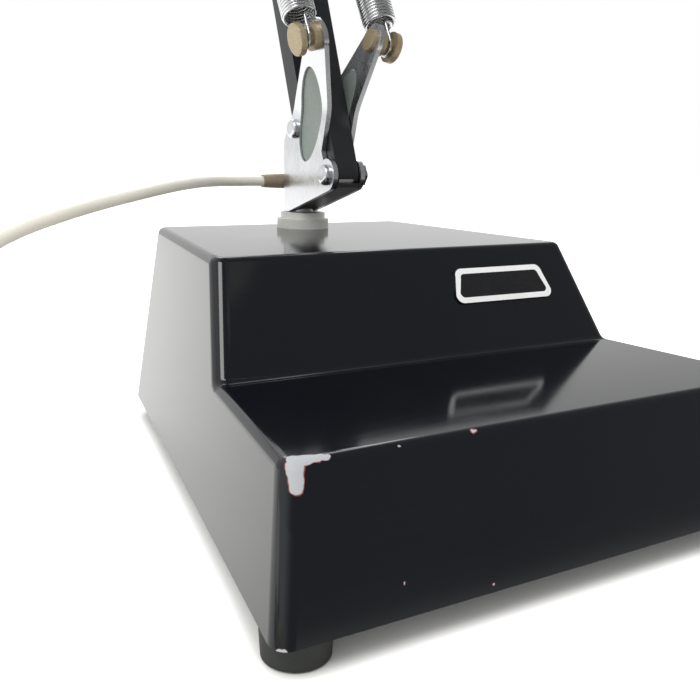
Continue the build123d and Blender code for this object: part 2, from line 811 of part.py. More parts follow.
# Spindle: a hollow pin for the lead, held under the bush by a clip
clip_top_z = sleeve_end_z - side_gap
with BuildPart() as spindle:
    spindle_end_z = clip_top_z - clip_thickness - spindle_tail
    upright_rod(0, swivel_y, spindle_end_z, spindle_seat_top, spindle_diameter)
    upright_rod(0, swivel_y, spindle_end_z, spindle_seat_top, spindle_bore, Mode.SUBTRACT)
spindle.part.label = "spindle"
export_step(spindle.part, "parts/spindle.step")

with BuildPart() as spindle_clip:
    upright_rod(0, swivel_y, clip_top_z - clip_thickness, clip_top_z, clip_diameter)
    upright_rod(0, swivel_y, clip_top_z - clip_thickness, clip_top_z, seat_hole, Mode.SUBTRACT)
spindle_clip.part.label = "spindle_clip"
export_step(spindle_clip.part, "parts/spindle_clip.step")


def bent_strip(thickness):
    """The cross section of a fork plate: upright, then leaning outwards to the ear."""
    inner = fork_inner_x
    outer = fork_inner_x + thickness
    strip_rise = ear_rise + 2 * ear_radius
    lean = spread_share * (strip_rise - bend_rise)
    with BuildSketch(Plane.XZ) as strip:
        Polygon(
            (inner, top_z),
            (outer, top_z),
            (outer, top_z + bend_rise),
            (outer + lean, top_z + strip_rise),
            (inner + lean, top_z + strip_rise),
            (inner, top_z + bend_rise),
        )
        fillet(strip.vertices().group_by(Axis.Y)[1], radius=bend_radius)
    return strip.sketch


# Fork plates: each carries the two pivots low down and a spring ear at the top
with BuildPart() as right_fork_plate:
    with BuildSketch(Plane.YZ):
        Polygon(
            ahead(-fork_rear_reach, fork_bottom_rise),
            ahead(fork_foot_reach, fork_bottom_rise),
            lobe_low,
            front_pivot,
            ahead(fork_neck_reach, fork_neck_rise),
            shifted(ear, ear_radius, 0),
            shifted(ear, -ear_radius / sqrt(2), ear_radius / sqrt(2)),
            ahead(fork_back_reach, fork_back_rise),
            ahead(-fork_rear_reach, fork_rear_corner_rise),
        )
        with Locations(front_pivot):
            Circle(lobe_radius)
        with Locations(ear):
            Circle(ear_radius)
        with Locations(ahead(window_reach, window_rise)):
            Ellipse(window_width / 2, window_length / 2, rotation=window_lean, mode=Mode.SUBTRACT)
        with Locations(front_pivot, rear_pivot):
            Circle(bolt_diameter / 2 + fixed_fit, mode=Mode.SUBTRACT)
        with Locations(*rivet_places):
            Circle(rivet_diameter / 2 + fixed_fit, mode=Mode.SUBTRACT)
    extrude(amount=2 * ear_x)
    extrude(bent_strip(fork_plate_thickness), amount=base_depth, both=True, mode=Mode.INTERSECT)
    seat_rod(ear_seat, -overrun, overrun, pin_shank_diameter + 2 * fixed_fit, Mode.SUBTRACT)
right_fork_plate.part.label = "right_fork_plate"
export_step(right_fork_plate.part, "parts/right_fork_plate.step")

with BuildPart() as left_fork_plate:
    mirror(right_fork_plate.part, about=Plane.YZ)
left_fork_plate.part.label = "left_fork_plate"
export_step(left_fork_plate.part, "parts/left_fork_plate.step")

# Oval inlays: thin fibre plates set in the windows of the fork plates
with BuildPart() as oval_inlays:
    with BuildSketch(Plane.YZ):
        with Locations(ahead(window_reach, window_rise)):
            Ellipse(window_width / 2 - inlay_gap, window_length / 2 - inlay_gap, rotation=window_lean)
    extrude(amount=2 * ear_x)
    extrude(bent_strip(inlay_thickness), amount=base_depth, both=True, mode=Mode.INTERSECT)
    mirror(about=Plane.YZ)
oval_inlays.part.label = "oval_inlays"
export_step(oval_inlays.part, "parts/oval_inlays.step")

with BuildPart() as fork_rivets:
    for place in rivet_places:
        cross_rod(place, -fork_outer_x, fork_outer_x, rivet_diameter)
fork_rivets.part.label = "fork_rivets"
export_step(fork_rivets.part, "parts/fork_rivets.step")

bolt_end_x = fork_outer_x + nut_height + bolt_end
with BuildPart() as fork_bolts:
    pivot_bolts([front_pivot, rear_pivot], bolt_end_x)
fork_bolts.part.label = "fork_bolts"
export_step(fork_bolts.part, "parts/fork_bolts.step")

with BuildPart() as fork_nuts:
    cross_nut(front_pivot, fork_outer_x)
    cross_nut(rear_pivot, fork_outer_x)
fork_nuts.part.label = "fork_nuts"
export_step(fork_nuts.part, "parts/fork_nuts.step")

# Spring pins riveted to the ears of the fork
with BuildPart() as spring_pins:
    ear_grip = fork_plate_thickness / ear_stretch
    spring_pin(ear_seat, ear_grip, (pin_groove_x - ear_x) * ear_stretch)
    seat_rod(ear_seat, -ear_grip - pin_rivet_height, -ear_grip, pin_rivet_diameter)
    mirror(about=Plane.YZ)
spring_pins.part.label = "spring_pins"
export_step(spring_pins.part, "parts/spring_pins.step")

with BuildPart() as lower_springs:
    lower_wire = spring_wire_path(ear_groove, lower_spring_end, lower_spring_turns)
    round_wire(lower_wire, spring_wire)
    mirror(about=Plane.YZ)
print("lower spring least gap", round(least_gap(lower_wire, spring_wire, 2400), 2))
lower_springs.part.label = "lower_springs"
export_step(lower_springs.part, "parts/lower_springs.step")

# Lower arm: the front bar carries the springs, the rear bar keeps the elbow level
with BuildPart() as lower_front_bar:
    bar_tube(front_pivot, lower_way, lower_length)
    hole = pin_shank_diameter + 2 * fixed_fit
    cross_rod(lower_spring_end, -bar_half, bar_half, hole, Mode.SUBTRACT)
lower_front_bar.part.label = "lower_front_bar"
export_step(lower_front_bar.part, "parts/lower_front_bar.step")

with BuildPart() as lower_front_bushes:
    bar_bushes(front_pivot, elbow_front)
lower_front_bushes.part.label = "lower_front_bushes"
export_step(lower_front_bushes.part, "parts/lower_front_bushes.step")

with BuildPart() as lower_cross_pin:
    spring_pin(cross_seat(lower_spring_end, bar_half), bar_half, pin_groove_x - bar_half)
    mirror(about=Plane.YZ)
lower_cross_pin.part.label = "lower_cross_pin"
export_step(lower_cross_pin.part, "parts/lower_cross_pin.step")

with BuildPart() as lower_rear_bar:
    bar_tube(rear_pivot, lower_way, lower_length)
lower_rear_bar.part.label = "lower_rear_bar"
export_step(lower_rear_bar.part, "parts/lower_rear_bar.step")

with BuildPart() as lower_rear_bushes:
    bar_bushes(rear_pivot, elbow_rear)
lower_rear_bushes.part.label = "lower_rear_bushes"
export_step(lower_rear_bushes.part, "parts/lower_rear_bushes.step")


def bar_lead(start, way, length):
    """The flex inside a bar, lying on the wall of the tube between the pivots."""
    lying = bar_depth / 2 - bar_wall - lead_diameter / 2 - side_gap
    lead_start = Plane(origin=(0, *along(start, way, lead_inset)), x_dir=(1, 0, 0), z_dir=(0, *way))
    with BuildSketch(lead_start) as core:
        with Locations((0, lying)):
            Circle(lead_diameter / 2)
    extrude(core.sketch, amount=length - 2 * lead_inset)


with BuildPart() as lower_lead:
    bar_lead(rear_pivot, lower_way, lower_length)
lower_lead.part.label = "lower_lead"
export_step(lower_lead.part, "parts/lower_lead.step")

# Elbow: two plates that join the lower bars to the upper bars
elbow_pivots = [elbow_front, elbow_rear, upper_pivot, link_pivot]
with BuildPart() as elbow_plates:
    lobes = [(place, elbow_lobe_radius) for place in elbow_pivots]
    hull_plate(lobes, fork_inner_x, fork_plate_thickness)
    ear_lobes = [(upper_pivot, elbow_lobe_radius), (link_pivot, elbow_lobe_radius)]
    hull_plate(ear_lobes + [(elbow_ear, elbow_ear_radius)], fork_inner_x, fork_plate_thickness)
    for place in elbow_pivots:
        hole = bolt_diameter + 2 * fixed_fit
        cross_rod(place, fork_inner_x, fork_outer_x, hole, Mode.SUBTRACT)
    hole = pin_shank_diameter + 2 * fixed_fit
    cross_rod(elbow_ear, fork_inner_x, fork_outer_x, hole, Mode.SUBTRACT)
    mirror(about=Plane.YZ)
elbow_plates.part.label = "elbow_plates"
export_step(elbow_plates.part, "parts/elbow_plates.step")

with BuildPart() as elbow_bolts:
    pivot_bolts(elbow_pivots, bolt_end_x)
elbow_bolts.part.label = "elbow_bolts"
export_step(elbow_bolts.part, "parts/elbow_bolts.step")

with BuildPart() as elbow_nuts:
    for place in elbow_pivots:
        cross_nut(place, fork_outer_x)
elbow_nuts.part.label = "elbow_nuts"
export_step(elbow_nuts.part, "parts/elbow_nuts.step")

with BuildPart() as elbow_spring_pins:
    elbow_ear_seat = cross_seat(elbow_ear, fork_outer_x)
    spring_pin(elbow_ear_seat, fork_plate_thickness, pin_groove_x - fork_outer_x)
    rivet_end = -fork_plate_thickness - pin_rivet_height
    seat_rod(elbow_ear_seat, rivet_end, -fork_plate_thickness, pin_rivet_diameter)
    mirror(about=Plane.YZ)
elbow_spring_pins.part.label = "elbow_spring_pins"
export_step(elbow_spring_pins.part, "parts/elbow_spring_pins.step")

with BuildPart() as upper_springs:
    upper_wire = spring_wire_path(elbow_ear, upper_spring_end, upper_spring_turns)
    round_wire(upper_wire, spring_wire)
    mirror(about=Plane.YZ)
print("upper spring least gap", round(least_gap(upper_wire, spring_wire, 1800), 2))
upper_springs.part.label = "upper_springs"
export_step(upper_springs.part, "parts/upper_springs.step")

# Upper arm: the main bar carries the springs, the link bar keeps the head carrier level
with BuildPart() as upper_main_bar:
    bar_tube(upper_pivot, upper_way, upper_length)
    hole = pin_shank_diameter + 2 * fixed_fit
    cross_rod(upper_spring_end, -bar_half, bar_half, hole, Mode.SUBTRACT)
upper_main_bar.part.label = "upper_main_bar"
export_step(upper_main_bar.part, "parts/upper_main_bar.step")

with BuildPart() as upper_main_bushes:
    bar_bushes(upper_pivot, head_pivot)
upper_main_bushes.part.label = "upper_main_bushes"
export_step(upper_main_bushes.part, "parts/upper_main_bushes.step")

with BuildPart() as upper_cross_pin:
    spring_pin(cross_seat(upper_spring_end, bar_half), bar_half, pin_groove_x - bar_half)
    mirror(about=Plane.YZ)
upper_cross_pin.part.label = "upper_cross_pin"
export_step(upper_cross_pin.part, "parts/upper_cross_pin.step")

with BuildPart() as upper_link_bar:
    bar_tube(link_pivot, upper_way, upper_length)
upper_link_bar.part.label = "upper_link_bar"
export_step(upper_link_bar.part, "parts/upper_link_bar.step")

with BuildPart() as upper_link_bushes:
    bar_bushes(link_pivot, head_link_pivot)
upper_link_bushes.part.label = "upper_link_bushes"
export_step(upper_link_bushes.part, "parts/upper_link_bushes.step")

with BuildPart() as upper_lead:
    bar_lead(link_pivot, upper_way, upper_length)
upper_lead.part.label = "upper_lead"
export_step(upper_lead.part, "parts/upper_lead.step")

# Head carrier: two small plates with the tilt pivot of the head
head_pivots = [head_pivot, head_link_pivot]
with BuildPart() as head_plates:
    lobes = [(place, head_lobe_radius) for place in head_pivots]
    hull_plate(lobes + [(tilt_pivot, tilt_lobe_radius)], fork_inner_x, fork_plate_thickness)
    for place in head_pivots + [tilt_pivot]:
        hole = bolt_diameter + 2 * fixed_fit
        cross_rod(place, fork_inner_x, fork_outer_x, hole, Mode.SUBTRACT)
    mirror(about=Plane.YZ)
head_plates.part.label = "head_plates"
export_step(head_plates.part, "parts/head_plates.step")

with BuildPart() as head_bolts:
    pivot_bolts(head_pivots, bolt_end_x)
head_bolts.part.label = "head_bolts"
export_step(head_bolts.part, "parts/head_bolts.step")

with BuildPart() as head_nuts:
    for place in head_pivots:
        cross_nut(place, fork_outer_x)
head_nuts.part.label = "head_nuts"
export_step(head_nuts.part, "parts/head_nuts.step")

with BuildPart() as tilt_bolt:
    pivot_bolts([tilt_pivot], fork_outer_x + knob_length / 2)
tilt_bolt.part.label = "tilt_bolt"
export_step(tilt_bolt.part, "parts/tilt_bolt.step")

with BuildPart() as tilt_knob:
    with BuildSketch(Plane.YZ.offset(fork_outer_x)):
        with Locations(tilt_pivot):
            Circle(knob_diameter / 2)
            with PolarLocations(knob_diameter / 2, knob_flutes):
                Circle(knob_flute_diameter / 2, mode=Mode.SUBTRACT)
    extrude(amount=knob_length)
    knob_hole_end = fork_outer_x + knob_length / 2 + side_gap
    cross_rod(tilt_pivot, fork_outer_x, knob_hole_end, bolt_diameter + 2 * fixed_fit, Mode.SUBTRACT)
tilt_knob.part.label = "tilt_knob"
export_step(tilt_knob.part, "parts/tilt_knob.step")

# Holder cap: the housing over the lampholder, with the lug that hangs on the tilt bolt
head_y, tilt_z = tilt_pivot
cap_top_z = tilt_z - lug_drop
cap_bottom_z = cap_top_z - cap_height
neck_end_z = cap_bottom_z - neck_length
cap_roof_z = cap_top_z - cap_wall
cap_floor_z = cap_bottom_z + cap_wall
button_z = cap_roof_z - switch_height / 2
with BuildPart() as holder_cap:
    upright_rod(0, head_y, cap_bottom_z, cap_top_z, cap_diameter)
    fillet(holder_cap.edges().sort_by(Axis.Z)[-1], radius=cap_edge_radius)
    upright_rod(0, head_y, neck_end_z, cap_bottom_z, neck_diameter)
    upright_rod(0, head_y, cap_floor_z, cap_roof_z, cap_diameter - 2 * cap_wall, Mode.SUBTRACT)
    upright_rod(0, head_y, neck_end_z, cap_floor_z, neck_bore, Mode.SUBTRACT)
    with BuildSketch(Plane.YZ):
        with Locations(tilt_pivot):
            Circle(tilt_lobe_radius)
        with Locations((head_y, cap_top_z - cap_wall / 2)):
            Rectangle(lug_foot_depth, cap_wall)
        make_hull()
    extrude(amount=bar_half, both=True)
    tilt_hole = bolt_diameter + 2 * running_fit
    cross_rod(tilt_pivot, -bar_half, bar_half, tilt_hole, Mode.SUBTRACT)
    with BuildSketch(Plane.XZ.offset(-head_y)):
        with Locations((0, button_z)):
            Circle(button_diameter / 2 + running_fit)
    extrude(amount=cap_diameter, mode=Mode.SUBTRACT)
holder_cap.part.label = "holder_cap"
export_step(holder_cap.part, "parts/holder_cap.step")

# Shade: a spun shell hung under the cap, with a ring of vents in its shoulder
mouth_z = cap_bottom_z - shade_height
shoulder_radius = shade_shoulder_diameter / 2
mouth_radius = shade_mouth_diameter / 2
with BuildPart() as shade:
    with BuildSketch(Plane.XZ.offset(-head_y)):
        with BuildLine():
            neck_edge = (neck_diameter / 2 + fixed_fit, cap_bottom_z)
            shoulder = (shoulder_radius, cap_bottom_z)
            lip_top = (mouth_radius, mouth_z + shade_lip_height)
            bulge_way = (shoulder[1] - lip_top[1], lip_top[0] - shoulder[0])
            bulge_share = shade_bulge / hypot(*bulge_way)
            middle_x = (shoulder[0] + lip_top[0]) / 2 + bulge_way[0] * bulge_share
            middle_z = (shoulder[1] + lip_top[1]) / 2 + bulge_way[1] * bulge_share
            Line(neck_edge, shoulder)
            ThreePointArc(shoulder, (middle_x, middle_z), lip_top)
            Line(lip_top, (mouth_radius, mouth_z))
            offset(amount=shade_wall, side=Side.RIGHT, kind=Kind.INTERSECTION)
        make_face()
    revolve(axis=Axis((0, head_y, 0), (0, 0, 1)))
    with BuildSketch(Plane.XY.offset(cap_bottom_z)):
        with Locations((0, head_y)):
            with PolarLocations(vent_circle_diameter / 2, vent_count):
                Circle(vent_diameter / 2)
    extrude(amount=-shade_wall - overrun, mode=Mode.SUBTRACT)
shade.part.label = "shade"
export_step(shade.part, "parts/shade.step")

with BuildPart() as shade_ring:
    ring_top_z = cap_bottom_z - shade_wall
    upright_rod(0, head_y, ring_top_z - ring_height, ring_top_z, ring_diameter)
    ring_hole = neck_diameter + 2 * fixed_fit
    upright_rod(0, head_y, ring_top_z - ring_height, ring_top_z, ring_hole, Mode.SUBTRACT)
shade_ring.part.label = "shade_ring"
export_step(shade_ring.part, "parts/shade_ring.step")

# Lampholder with its bulb
holder_end_z = cap_floor_z - holder_flange_from_bottom
with BuildPart() as lampholder:
    holder_diameter = neck_bore - 2 * fixed_fit
    upright_rod(0, head_y, holder_end_z, holder_end_z + holder_length, holder_diameter)
    upright_rod(0, head_y, cap_floor_z, cap_floor_z + holder_flange_height, holder_flange_diameter)
    socket = bulb_cap_diameter + 2 * fixed_fit
    upright_rod(0, head_y, holder_end_z, holder_end_z + bulb_cap_length, socket, Mode.SUBTRACT)
lampholder.part.label = "lampholder"
export_step(lampholder.part, "parts/lampholder.step")

with BuildPart() as bulb_cap:
    upright_rod(0, head_y, holder_end_z, holder_end_z + bulb_cap_length, bulb_cap_diameter)
bulb_cap.part.label = "bulb_cap"
export_step(bulb_cap.part, "parts/bulb_cap.step")

with BuildPart() as bulb_glass:
    bulb_z = holder_end_z - bulb_centre_drop
    with Locations((0, head_y, bulb_z)):
        Sphere(bulb_diameter / 2)
    upright_rod(0, head_y, bulb_z, holder_end_z, bulb_neck_diameter)
    with Locations((0, head_y, bulb_z)):
        Sphere(bulb_diameter / 2 - bulb_wall, mode=Mode.SUBTRACT)
    upright_rod(0, head_y, bulb_z, holder_end_z, bulb_neck_diameter - 2 * bulb_wall, Mode.SUBTRACT)
bulb_glass.part.label = "bulb_glass"
export_step(bulb_glass.part, "parts/bulb_glass.step")

# Push switch in the front wall of the cap
cap_inner_radius = cap_diameter / 2 - cap_wall
flange_y = head_y - sqrt(cap_inner_radius**2 - button_flange_diameter**2 / 4) + side_gap
switch_front_y = flange_y + button_flange_height + button_travel + side_gap
with BuildPart() as switch_body:
    with BuildSketch(Plane.XY.offset(cap_roof_z)):
        with Locations((0, switch_front_y + switch_size / 2)):
            Rectangle(switch_size, switch_size)
    extrude(amount=-switch_height)
switch_body.part.label = "switch_body"
export_step(switch_body.part, "parts/switch_body.step")

with BuildPart() as switch_button:
    with BuildSketch(Plane.XZ.offset(-flange_y - button_flange_height)):
        with Locations((0, button_z)):
            Circle(button_flange_diameter / 2)
    extrude(amount=button_flange_height)
    with BuildSketch(Plane.XZ.offset(-flange_y)):
        with Locations((0, button_z)):
            Circle(button_diameter / 2)
    extrude(amount=flange_y - head_y + cap_diameter / 2 + button_proud)
switch_button.part.label = "switch_button"
export_step(switch_button.part, "parts/switch_button.step")
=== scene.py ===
# %% [markdown]
# # A spring-balanced desk lamp on a stepped enamel base
# The solids of the lamp come in as a frame of fixed pieces, each already on the body that moves it.
# This lesson gives every piece its finish, winds the springs and lays the cord. The frame is loaded first.
# Lengths are written in millimetres and divided by the millimetres in a metre where Blender wants
# metres.

# %% Load the lamp
import json
from math import cos, pi, radians, sin

import bmesh
import bpy
from mathutils import Matrix, Vector

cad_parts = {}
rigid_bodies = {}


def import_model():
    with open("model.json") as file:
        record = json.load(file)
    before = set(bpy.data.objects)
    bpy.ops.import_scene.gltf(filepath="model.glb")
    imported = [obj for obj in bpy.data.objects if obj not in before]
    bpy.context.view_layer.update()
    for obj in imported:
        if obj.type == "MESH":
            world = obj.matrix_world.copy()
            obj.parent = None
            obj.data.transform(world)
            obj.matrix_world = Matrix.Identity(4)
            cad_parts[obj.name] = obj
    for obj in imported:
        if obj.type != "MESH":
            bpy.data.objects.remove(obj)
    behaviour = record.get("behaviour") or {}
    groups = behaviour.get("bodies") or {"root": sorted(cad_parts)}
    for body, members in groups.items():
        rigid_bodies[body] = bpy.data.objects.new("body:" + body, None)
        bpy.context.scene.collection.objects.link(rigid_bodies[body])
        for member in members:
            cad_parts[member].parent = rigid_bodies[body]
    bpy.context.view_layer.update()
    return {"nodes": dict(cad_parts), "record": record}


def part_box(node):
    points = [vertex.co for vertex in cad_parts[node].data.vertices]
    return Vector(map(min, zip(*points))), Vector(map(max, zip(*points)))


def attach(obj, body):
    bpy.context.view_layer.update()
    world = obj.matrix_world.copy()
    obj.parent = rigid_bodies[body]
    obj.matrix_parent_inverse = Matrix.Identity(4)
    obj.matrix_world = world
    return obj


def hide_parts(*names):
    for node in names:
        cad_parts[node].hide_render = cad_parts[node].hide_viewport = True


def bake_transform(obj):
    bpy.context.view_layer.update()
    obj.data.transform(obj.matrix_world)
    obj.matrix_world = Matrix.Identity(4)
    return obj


for spare in list(bpy.data.objects):
    bpy.data.objects.remove(spare)
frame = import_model()
nodes = frame["nodes"]
scene = bpy.context.scene
per_metre = 1000

# %% [markdown]
# ## The camera
# The photograph was taken close to the front left corner of the base, a little above its top. The
# camera's place and aim were worked out from the corners of the base, whose sizes are known, so a
# point of the lamp lands on the same pixel here as it does there. A square sensor and a focal length
# in pixels are enough: the lens is that length times the sensor's width over the picture's width.

# %% Camera
picture_width = 700
focal_pixels = 842.8
eye = Vector((-0.17128, -0.23691, 0.12249))
aim = Vector((0.48152, 0.84454, -0.23429))
up = Vector((0.09616, 0.21481, 0.97191))
right = aim.cross(up)
camera_data = bpy.data.cameras.new("photo_camera")
camera_data.sensor_width = 36.0
camera_data.lens = camera_data.sensor_width * focal_pixels / picture_width
camera_data.clip_start = 0.01
camera = bpy.data.objects.new("photo_camera", camera_data)
turn = Matrix((right, up, -aim)).transposed().to_4x4()
camera.matrix_world = Matrix.Translation(eye) @ turn
scene.collection.objects.link(camera)
scene.camera = camera
print("lens", round(camera_data.lens, 2), "mm")

# %% [markdown]
# ## The mains cord
# A cord is a fixed length of something soft, so it is one smooth curve with a round section. The points are
# the route of the cord from the strain relief behind the swivel. Past the edge of the view it comes down to
# the table, and the rest of its length is wound into two layers, inwards and out again. A quadratic curve
# cuts inside its points, so the points of the turns stand a little further out than the cord.

# %% Route of the cord
cord_diameter = 4.6
cord_route = [
    (-14.0, 123.1, 106.5),
    (-29.0, 123.1, 106.5),
    (-46.0, 112.7, 106.7),
    (-62.0, 94.5, 106.3),
    (-80.0, 72.0, 105.4),
    (-109.0, 53.0, 101.0),
    (-138.0, 36.0, 94.0),
    (-158.0, 20.0, 82.0),
    (-172.0, 3.0, 62.0),
    (-180.0, -14.0, 40.0),
    (-183.0, -31.0, 20.5),
    (-183.6, -49.0, 8.5),
    (-183.0, -66.0, 3.8),
    (-183.0, -80.0, 3.8),
]
cord_points = [Vector(point) for point in cord_route]
print("route points", len(cord_points))

# %% Coil of the cord
turns_per_layer = 4
points_per_turn = 16
inner_radius = 18.0
turn_step = 5.3
layer_climb = 5.2
tail_lengths = (0, 8, 16, 24)
outer_radius = inner_radius + turn_step * turns_per_layer
coil_start = Vector(cord_route[-1]) + Vector((0, -cord_diameter, 0))
coil_centre = coil_start - Vector((outer_radius, 0, 0))
reversal = 2 * pi * turns_per_layer


def coil_point(angle):
    """A point of the winding: in on the lower layer, out on the upper one."""
    past = angle - reversal
    wound = abs(past)
    lift = layer_climb if past > 0 else 0
    if wound < pi / 2:
        wound = past**2 / pi + pi / 4
        lift = layer_climb * (1 + sin(past)) / 2
    radius = (inner_radius + turn_step * wound / (2 * pi)) / cos(pi / points_per_turn)
    return coil_centre + Vector((radius * cos(angle), -radius * sin(angle), lift))


cord_points.append(coil_start)
for step in range(1, 2 * turns_per_layer * points_per_turn):
    cord_points.append(coil_point(2 * pi * step / points_per_turn))
coil_end = coil_centre + Vector((outer_radius, 0, layer_climb))
for tail in tail_lengths:
    cord_points.append(coil_end + Vector((0, -tail, 0)))
print("coil", round(2 * outer_radius + cord_diameter, 1), "mm across, cord points", len(cord_points))

# %% [markdown]
# ### One curve for the whole cord
# The round section comes from the curve's own bevel. Blender adds the radius of the points to the box
# of a curve, so the points carry the true radius and the bevel is one metre times that.

# %% Cord curve
cord_curve = bpy.data.curves.new("cord", "CURVE")
cord_curve.dimensions = "3D"
cord_curve.bevel_depth = 1.0
cord_curve.bevel_resolution = 5
cord_curve.use_fill_caps = True
line = cord_curve.splines.new("NURBS")
line.points.add(len(cord_points) - 1)
for point, place in zip(line.points, cord_points):
    point.co = (*(place / per_metre), 1)
    point.radius = cord_diameter / 2 / per_metre
line.order_u = 3
line.use_endpoint_u = True
line.resolution_u = 6
cord = bpy.data.objects.new("mains_cord_laid", cord_curve)
scene.collection.objects.link(cord)
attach(cord, "base")
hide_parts("mains_cord", "cord_coil")

# %% [markdown]
# ## The room
# The photograph is a high-key studio picture: everything round the lamp is white. Plain surfaces get
# one even level of light from all sides. Glossy black enamel shows little but what it mirrors, so
# glossy rays see a room of their own: white behind, to the left and below, and darker above and to
# the right of the photographer, which keeps the front of the base black. The eye sees plain white.
# Two small helpers come first: one turns a written colour into linear light, and one adds a node.


# %% Colour and node helpers
def shade_of(code):
    """An sRGB hex colour as linear values."""
    values = [int(code[i : i + 2], 16) / 255 for i in (1, 3, 5)]
    return (*(v / 12.92 if v <= 0.04045 else ((v + 0.055) / 1.055) ** 2.4 for v in values), 1)


def add(tree, kind, settings=(), links=()):
    """One node with its settings, and its inputs linked to what feeds them."""
    made = tree.nodes.new(kind)
    for name, value in dict(settings).items():
        if isinstance(name, str) and hasattr(made, name):
            setattr(made, name, value)
        else:
            made.inputs[name].default_value = value
    for name, source in dict(links).items():
        tree.links.new(source, made.inputs[name])
    return made


print("white is", shade_of("#ffffff"))

# %% Room
# The inputs of a Mix node go by number: 0 is the share, 2 and 3 are numbers, 6 and 7 are colours.
plain_level = 0.83
dark_level = 0.26
dark_side = (0.45, -0.62, 0.55)
dark_starts, dark_full = -0.15, 0.6
world = bpy.data.worlds.new("studio")
scene.world = world
world.use_nodes = True
room = world.node_tree
room.nodes.clear()
direction = add(room, "ShaderNodeTexCoord").outputs["Generated"]
facing = {"operation": "DOT_PRODUCT", 1: dark_side}
facing = add(room, "ShaderNodeVectorMath", facing, {0: direction}).outputs["Value"]
fall = {"interpolation_type": "SMOOTHSTEP", "From Min": dark_starts, "From Max": dark_full}
fall.update({"To Min": 1.0, "To Max": dark_level})
mirrored = add(room, "ShaderNodeMapRange", fall, {"Value": facing}).outputs[0]
rays = add(room, "ShaderNodeLightPath").outputs
plain = {"data_type": "FLOAT", 2: plain_level}
level = add(room, "ShaderNodeMix", plain, {0: rays["Is Glossy Ray"], 3: mirrored}).outputs[0]
to_eye = {0: rays["Is Camera Ray"], 1: rays["Is Transmission Ray"]}
seen = add(room, "ShaderNodeMath", {"operation": "MAXIMUM"}, to_eye).outputs[0]
strength = add(room, "ShaderNodeMath", {"operation": "MAXIMUM"}, {0: level, 1: seen}).outputs[0]
white = {"Color": shade_of("#ffffff")}
white_room = add(room, "ShaderNodeBackground", white, {"Strength": strength}).outputs[0]
add(room, "ShaderNodeOutputWorld", (), {"Surface": white_room})
scene.view_settings.view_transform = "Standard"
print("room at", plain_level, "and", dark_level, "on its dark side")

# %% [markdown]
# ## The table
# A white table that melts into the white room, with only the close shadow of the base left on it.
# More light would bleach the lamp as well, so the table adds some white of its own for the eye and
# for mirrors, and takes it away where the Ambient Occlusion node finds the base or a foot near by.
# Its near part is dark in mirrors alone, as a studio is on the photographer's side.

# %% Table top
table_half_width = 4.0
table_drop = 0.5
table_mesh = bpy.data.meshes.new("table")
shaping = bmesh.new()
bmesh.ops.create_grid(shaping, x_segments=1, y_segments=1, size=table_half_width)
shaping.to_mesh(table_mesh)
shaping.free()
table = bpy.data.objects.new("table", table_mesh)
table.location = (0, 0, -table_drop / per_metre)
scene.collection.objects.link(table)
print("table", 2 * table_half_width, "m wide")

# %% Table paint
shadow_reach = 22.0
own_white = 0.75
open_from, open_full = 0.4, 0.8
near_y, far_y = -0.3, 0.05
near_share, far_share = 0.15, 0.9
table_paint = bpy.data.materials.new("white_table")
table_paint.use_nodes = True
tree = table_paint.node_tree
tree.nodes.clear()
rays = add(tree, "ShaderNodeLightPath").outputs
reach = {"samples": 12, "Distance": shadow_reach / per_metre}
sky_share = add(tree, "ShaderNodeAmbientOcclusion", reach).outputs["AO"]
clear = {"interpolation_type": "SMOOTHSTEP", "From Min": open_from, "From Max": open_full}
clear.update({"To Max": own_white})
clear = add(tree, "ShaderNodeMapRange", clear, {"Value": sky_share}).outputs[0]
spot = add(tree, "ShaderNodeTexCoord").outputs["Object"]
depth = add(tree, "ShaderNodeSeparateXYZ", (), {0: spot}).outputs["Y"]
far = {"interpolation_type": "SMOOTHSTEP", "From Min": near_y, "From Max": far_y}
far.update({"To Min": near_share, "To Max": far_share})
far = add(tree, "ShaderNodeMapRange", far, {"Value": depth}).outputs[0]
whole = {"data_type": "FLOAT", 2: 1.0}
share = add(tree, "ShaderNodeMix", whole, {0: rays["Is Glossy Ray"], 3: far}).outputs[0]
to_eye = {0: rays["Is Camera Ray"], 1: rays["Is Glossy Ray"]}
seen = add(tree, "ShaderNodeMath", {"operation": "MAXIMUM"}, to_eye).outputs[0]
lift = add(tree, "ShaderNodeMath", {"operation": "MULTIPLY"}, {0: seen, 1: clear}).outputs[0]
glow = add(tree, "ShaderNodeEmission", {"Color": shade_of("#ffffff")}, {"Strength": lift}).outputs[0]
matt = add(tree, "ShaderNodeBsdfDiffuse", {"Color": shade_of("#f4f3f0")}).outputs[0]
both = add(tree, "ShaderNodeAddShader", (), {0: matt, 1: glow}).outputs[0]
near_dark = add(tree, "ShaderNodeBsdfDiffuse", {"Color": shade_of("#202020")}).outputs[0]
mixed = add(tree, "ShaderNodeMixShader", (), {0: share, 1: near_dark, 2: both}).outputs[0]
add(tree, "ShaderNodeOutputMaterial", (), {"Surface": mixed})
table_mesh.materials.append(table_paint)
print("table paint nodes", len(tree.nodes))

# %% [markdown]
# ## Soft boxes
# Two square lamps give the soft shadow and the bright edges. The left one is small enough for its
# mirror image to be a thin strip down the rounded edge of the upper panel. The other stands behind.

